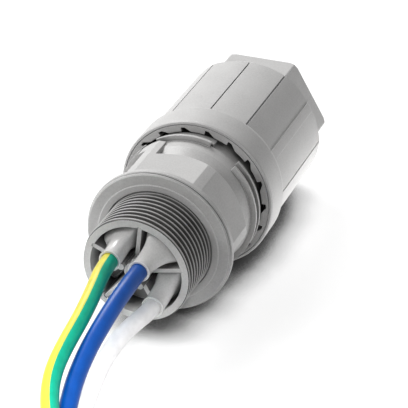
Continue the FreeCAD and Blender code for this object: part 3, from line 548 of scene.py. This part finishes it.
# %% [markdown]
# ## One recipe, many plastics
#
# Every moulded piece is the same plastic or a close relation, so one recipe makes them all, and its options
# say what differs. The boots are soft and glossy, with a clear coat. The gasket and the seals are matt.

# %% Make the plastics
CLOUDS_PER_METRE = 170.0
SPECKS_PER_METRE = 2600.0
ROUGHNESS_BELOW = 0.05
ROUGHNESS_SPREAD = 0.12


def moulded(name, level, roughness=0.42, grain=0.02 * MM, edge=0.18 * MM, corner=1.4 * MM, coat=0.0,
            recess=None):
    """Moulded plastic with clouds, a grain, painted highlights on its edges and painted shade in its corners.

    recess may be a function that gives the share of painted shade that a spot's place calls for."""
    finish = Finish(bpy.data.materials.new(name))
    cloud = finish.noise(scale=CLOUDS_PER_METRE, detail=4.0)
    speck = finish.noise(scale=SPECKS_PER_METRE, detail=2.0)
    tone = melt_tone(finish, level, cloud, speck)
    tone = with_painted_shade(finish, painted_corner_shade(finish, corner), tone, level)
    if recess is not None:
        tone = with_painted_shade(finish, recess(finish), tone, level)
    rounded = finish.node("ShaderNodeBevel", {"samples": BEVEL_SAMPLES}, {"Radius": edge})
    tone = painted_edge_highlight(finish, tone, level, rounded)
    surface = finish.bump(speck, grain, rounded)
    uneven = roughness - ROUGHNESS_BELOW + ROUGHNESS_SPREAD * cloud
    return finish.set(Base_Color=tone, Roughness=uneven, Normal=surface,
                      Specular_IOR_Level=0.3, Coat_Weight=coat, Coat_Roughness=0.12)


housing_grey = moulded("housing_grey", 0.51, corner=2.2 * MM, recess=housing_hollow_shade)
nut_grey = moulded("nut_grey", 0.50, recess=nut_mouth_shade)
insert_grey = moulded("insert_grey", 0.46, roughness=0.5, corner=3 * MM, recess=chamber_shade)
boot_grey = moulded("boot_grey", 0.66, roughness=0.20, grain=0.003 * MM, coat=0.9, recess=boot_shade)
gasket_grey = moulded("gasket_grey", 0.52, roughness=0.55, grain=0.015 * MM)
seal_black = moulded("seal_black", 0.03, roughness=0.6)
carrier_black = moulded("carrier_black", 0.04, roughness=0.5)
plastics = (housing_grey, nut_grey, insert_grey, boot_grey, gasket_grey, seal_black, carrier_black)
print("plastics:", ", ".join(plastic.name for plastic in plastics))

# %% [markdown]
# ## Insulation and metals
#
# A wire's insulation is soft and a little wavy from the die that it came through. One ripple noise darkens
# it, roughens it and raises it, so that all three agree, as they do on the real wire. The contacts are
# tinned brass and the stripped ends bare copper: drawn metal is even in colour, and only its gloss and its
# surface vary.

# %% Make the insulation and the metals
RIPPLES_PER_METRE = 420.0
RIPPLE_HEIGHT = 0.02 * MM
DARK_RIPPLE = 0.86
DRAW_MARKS_PER_METRE = 1500.0
DRAW_MARK_HEIGHT = 0.01 * MM


def insulation(name, colour):
    finish = Finish(bpy.data.materials.new(name))
    ripple = finish.noise(scale=RIPPLES_PER_METRE, detail=3.0)
    darker = tuple(part * DARK_RIPPLE for part in colour[:3]) + (1,)
    tone = finish.mix(finish.ramp(ripple, (0.35, 0.0), (0.65, 1.0)), darker, colour)
    return finish.set(Base_Color=tone, Roughness=0.3 + 0.08 * ripple,
                      Normal=finish.bump(ripple, RIPPLE_HEIGHT), Specular_IOR_Level=0.28)


def metal(name, colour, roughness):
    finish = Finish(bpy.data.materials.new(name))
    drawn = finish.noise(scale=DRAW_MARKS_PER_METRE, detail=2.0)
    return finish.set(Base_Color=colour, Metallic=1.0, Roughness=roughness + 0.15 * drawn,
                      Normal=finish.bump(drawn, DRAW_MARK_HEIGHT))


earth_green = insulation("earth_green", (0.003, 0.38, 0.24, 1))
earth_yellow = insulation("earth_yellow", (0.70, 0.62, 0.05, 1))
neutral_blue = insulation("neutral_blue", (0.0005, 0.065, 0.33, 1))
line_white = insulation("line_white", (0.94, 0.93, 0.93, 1))
tinned_brass = metal("tinned_brass", (0.72, 0.60, 0.34, 1), 0.22)
bare_copper = metal("bare_copper", (0.80, 0.42, 0.24, 1), 0.3)
print("insulation in four colours, and", tinned_brass.name, "and", bare_copper.name)

# %% [markdown]
# ## Lay the leads
#
# Each tube takes its three materials in the order of the slots that its faces name. It stands for two
# solids of the construction, the lead and its coil.

# %% Put the leads in the scene
def show(name, mesh, *materials):
    """A new object in the scene with this mesh and these materials."""
    piece = bpy.data.objects.new(name, mesh)
    for material in materials:
        piece.data.materials.append(material)
    bpy.context.scene.collection.objects.link(piece)
    return piece


LEAD_FINISHES = {
    "neutral": (neutral_blue, neutral_blue, bare_copper),
    "earth": (earth_green, earth_yellow, bare_copper),
    "line": (line_white, line_white, bare_copper),
}
for name, places in lines.items():
    wire = show(f"lead_{name}_wire", wire_meshes[name], *LEAD_FINISHES[name])
    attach(wire, "base")
    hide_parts(f"lead_{name}", f"lead_coil_{name}")
    print(wire.name, "leaves at", [round(part * 1000, 1) for part in places[0]], "mm")

# %% [markdown]
# ## The panel thread
#
# The shank carries an M25 thread with a pitch of 1.5 mm. The solid has a plain cylinder there, because a
# thread would give the construction model thousands of faces. Here the moulding is copied, the plain wall of
# its shank is taken away, and a thin sleeve takes its place: a grid wrapped round the axis, whose radius at
# each point depends on how far the point has travelled along the helix. The same formula lets the groove
# fade in at the shank's end and run out before the gasket, as a moulded thread does.

# %% Measure the thread
CREST = 12.5 * MM
PITCH = 1.5 * MM
DEPTH = 0.86 * MM
SHANK_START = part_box("panel_base")[0][1]
SHANK_LENGTH = -SHANK_START
FIRST_CREST = 0.3 * MM
LEAD_IN = 0.3 * MM
RUN_IN = 0.6 * PITCH
RUN_OUT = 0.5 * PITCH
CREST_SHARE = 0.14
FLANK_SHARE = 0.52
ROUNDING = 0.35


def clamped(value):
    return min(max(value, 0), 1)


def groove_share(phase):
    """How deep the groove is at a share of the pitch from a crest's middle, from 0 to 1."""
    away = abs((phase + 0.5) % 1 - 0.5) * 2
    flank = clamped((away - CREST_SHARE) / FLANK_SHARE)
    rounded = flank * flank * (3 - 2 * flank)
    return rounded * ROUNDING + flank * (1 - ROUNDING)


def thread_radius(along, angle):
    """Radius at a distance from the shank's end and an angle about the axis."""
    phase = (along - FIRST_CREST) / PITCH - angle / (2 * math.pi)
    fade = clamped(along / RUN_IN) * clamped((SHANK_LENGTH - along) / RUN_OUT)
    chamfer = max(LEAD_IN - along, 0)
    return CREST - chamfer - DEPTH * groove_share(phase) * fade


print(f"thread: {SHANK_LENGTH / PITCH:.1f} turns on {SHANK_LENGTH * 1000:.1f} mm")

# %% Take the plain wall away
SEAT_SLACK = 0.01 * MM
WALL_INNER = CREST - 1.2 * LEAD_IN
END_FACE = 0.9


def on_shank_wall(face):
    """True for the plain wall and the chamfer that the sleeve stands for."""
    outside = all(vertex.co.y < SEAT_SLACK and math.hypot(vertex.co.x, vertex.co.z) > WALL_INNER
                  for vertex in face.verts)
    return outside and abs(face.normal.y) < END_FACE


moulding = bmesh.new()
moulding.from_mesh(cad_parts["panel_base"].data)
moulding.faces.ensure_lookup_table()
plain_wall = [face for face in moulding.faces if on_shank_wall(face)]
bmesh.ops.delete(moulding, geom=plain_wall, context="FACES")
print(len(plain_wall), "faces of plain wall taken away")

# %% Wrap the thread round the shank
STEPS_ROUND = 120
STEPS_PER_PITCH = 14
THREAD_SLOT = 1


def add_thread(built):
    """Adds the threaded sleeve to a mesh that is being built."""
    rows = round(SHANK_LENGTH / PITCH * STEPS_PER_PITCH)
    grid = []
    for row in range(rows + 1):
        along = SHANK_LENGTH * row / rows
        ring = []
        for step in range(STEPS_ROUND):
            angle = 2 * math.pi * step / STEPS_ROUND
            radius = thread_radius(along, angle)
            place = (radius * math.cos(angle), SHANK_START + along, radius * math.sin(angle))
            ring.append(built.verts.new(place))
        grid.append(ring)
    for ring, following in zip(grid, grid[1:]):
        for step in range(STEPS_ROUND):
            after = (step + 1) % STEPS_ROUND
            face = built.faces.new((ring[step], following[step], following[after], ring[after]))
            face.smooth = True
            face.material_index = THREAD_SLOT
    return len(grid) * STEPS_ROUND


corners_added = add_thread(moulding)
base_mesh = bpy.data.meshes.new("panel_base_threaded")
moulding.to_mesh(base_mesh)
moulding.free()
print("the thread has", corners_added, "corners")

# %% [markdown]
# ## The thread's painted groove shade
#
# In the picture each groove is a thin dark line between pale crests. The groove is narrower than a corner's
# shade can follow, so the sleeve has its own material, with painted shade darker with depth below the crests.
# The edges of the ribs are finer too, so their rounding is a twentieth of a millimetre.

# %% Put the threaded moulding in the scene
def thread_groove_shade(finish):
    """Painted shade: 0 on the thread's crests, 1 at the bottom of its groove."""
    depth = (CREST - from_axis(finish)) * (1 / DEPTH)
    return finish.ramp(depth, (0.05, 0.0), (0.22, 1.0))


thread_grey = moulded("thread_grey", 0.49, edge=0.05 * MM, recess=thread_groove_shade)
threaded_base = show("panel_base_threaded", base_mesh, housing_grey, thread_grey)
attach(threaded_base, "base")
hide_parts("panel_base")
print(threaded_base.name, "has", len(base_mesh.polygons), "faces")

# %% [markdown]
# ## Dress the solids
#
# The other pieces are right as they come, so each keeps its mesh and only changes its material. The grey
# mouldings show from outside. The black ones sit inside, and are finished all the same, because the cable
# entry lets some of them show.

# %% Give each solid its finish
FINISHES = {
    "panel_base": housing_grey,
    "union_nut": nut_grey,
    "flange_gasket": gasket_grey,
    "housing_seal": seal_black,
    "chamber_insert": insert_grey,
    "contact_carrier": carrier_black,
    "splice_ring": carrier_black,
    "cable_seal": seal_black,
    "clamping_ring": insert_grey,
    "lead_boot_earth": boot_grey,
    "lead_boot_neutral": boot_grey,
    "lead_boot_line": boot_grey,
    "blank_plug_left": insert_grey,
    "blank_plug_low": insert_grey,
}
CONTACTS = 5
for number in range(1, CONTACTS + 1):
    FINISHES[f"contact_{number}"] = tinned_brass
for name, finish in FINISHES.items():
    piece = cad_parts[name]
    piece.data.materials.clear()
    piece.data.materials.append(finish)
print(len(FINISHES), "solids dressed")

# %% [markdown]
# ## The floor
#
# The picture was taken on a white sweep, which throws light back up from the right, so the nut's flank is
# brighter than its shoulder. The floor gives that bounce as a glow that only surfaces see. The camera,
# mirrors and glass see a plain white floor instead, with a painted shadow of the connector: the less open
# space a spot of the floor has within a centimetre, the darker it is painted.

# %% Shape the floor
FLOOR_SIZE = 4.0

half = FLOOR_SIZE / 2
corners = [(-half, -half), (half, -half), (half, half), (-half, half)]
floor_mesh = bpy.data.meshes.new("floor")
floor_mesh.from_pydata([(x, y, FLOOR_LEVEL) for x, y in corners], [], [(0, 1, 2, 3)])
print("floor at", round(FLOOR_LEVEL * 1000, 1), "mm")

# %% Let the floor glow, and paint the connector's shadow on it
BOUNCE_MIDDLE = Vector((46 * MM, 50 * MM, FLOOR_LEVEL))
BOUNCE_REACH = 56 * MM
BOUNCE_STRENGTH = 3.9
SHADE_REACH = 12 * MM
SHADE_SAMPLES = 16
SEEN_GLOW = 0.85
SEEN_WHITE = 0.3
SEEN_SHADOW = 0.03
LIT_WHITE = 0.9


def seen(finish):
    """1 where the camera sees a surface, also in mirrors and through glass, 0 where it only lights."""
    camera_ray = finish.node("ShaderNodeLightPath", output="Is Camera Ray")
    mirror_ray = finish.node("ShaderNodeLightPath", output="Is Glossy Ray")
    glass_ray = finish.node("ShaderNodeLightPath", output="Is Transmission Ray")
    return camera_ray.either(mirror_ray.either(glass_ray))


floor_finish = Finish(bpy.data.materials.new("floor_white"))
away = floor_finish.vector_maths("DISTANCE", {0: floor_finish.place(), 1: BOUNCE_MIDDLE}, "Value")
bounce = floor_finish.ramp(away * (1 / BOUNCE_REACH), (0.0, 1.0), (0.35, 0.9), (0.65, 0.1), (1.0, 0.0))
# Painted shadow: the camera sees the floor darker, in colour and in glow, where less space round it is open.
shade = floor_finish.ramp(floor_finish.openness(SHADE_REACH, SHADE_SAMPLES),
                          (0.1, 0.0), (0.40, 0.06), (0.48, 0.5), (0.60, 0.68), (0.74, 0.9), (0.85, 1.0))
in_view = seen(floor_finish)
seen_glow = floor_finish.mix(shade, grey(0.0), grey(SEEN_GLOW / BOUNCE_STRENGTH))
seen_tone = floor_finish.mix(shade, grey(SEEN_SHADOW), grey(SEEN_WHITE))
floor_finish.set(Base_Color=floor_finish.mix(in_view, grey(LIT_WHITE), seen_tone),
                 Emission_Color=floor_finish.mix(in_view, bounce, seen_glow),
                 Emission_Strength=BOUNCE_STRENGTH, Roughness=0.9, Specular_IOR_Level=0.0)
floor = show("floor", floor_mesh, floor_finish.owner)
print("the bounce reaches", round(BOUNCE_REACH * 1000), "mm to each side of its middle")

# %% [markdown]
# ## The lamps
#
# A large soft lamp stands behind on the left and a smaller one in front on the left. Both are discs, because
# a disc's shadow has no corners. The white wire lies in the connector's own shade, so a narrow spot from
# beside the camera picks out the wires and leaves the rest alone.

# %% Hang the lamps
CONNECTOR_MIDDLE = (0, 0.02, 0)
WIRES_MIDDLE = (0.002, -0.066, -0.012)


def hang(lamp, place, aim):
    """Puts a lamp in the scene at a place, turned towards its aim."""
    holder = bpy.data.objects.new(lamp.name, lamp)
    holder.location = place
    direction = Vector(aim) - Vector(place)
    holder.rotation_euler = direction.to_track_quat("-Z", "Y").to_euler()
    bpy.context.scene.collection.objects.link(holder)
    print(f"{lamp.name}: {lamp.energy:.1f} W, {direction.length:.2f} m away")


def soft_light(name, place, size, watts):
    lamp = bpy.data.lights.new(name, "AREA")
    lamp.shape = "DISK"
    lamp.size = size
    lamp.energy = watts
    hang(lamp, place, CONNECTOR_MIDDLE)


def narrow_light(name, place, cone, size, watts):
    lamp = bpy.data.lights.new(name, "SPOT")
    lamp.spot_size = cone
    lamp.spot_blend = 1.0
    lamp.shadow_soft_size = size
    lamp.energy = watts
    hang(lamp, place, WIRES_MIDDLE)


soft_light("back_left_light", (-0.29, 0.25, 0.40), size=0.3, watts=2.3)
soft_light("front_left_light", (-0.35, -0.25, 0.35), size=0.16, watts=1.2)
narrow_light("wire_light", (0.10, -0.32, 0.20), cone=math.radians(10), size=0.03, watts=19.0)

# %% [markdown]
# ## The room
#
# The room round the sweep lights the connector evenly from all sides. Its light level and its looks are two
# things: the object gets a quarter of full white as light, and the camera, mirrors and glass see white.

# %% Fill the room with light
SKY_LEVEL = 0.24

world = bpy.data.worlds.new("studio")
studio = Finish(world, "Background")
studio.set(Color=studio.mix(seen(studio), grey(SKY_LEVEL), grey(1.0)), Strength=1.0)
bpy.context.scene.world = world
bpy.context.scene.view_settings.view_transform = "Standard"
print("room light at", SKY_LEVEL, "of white")

# %% [markdown]
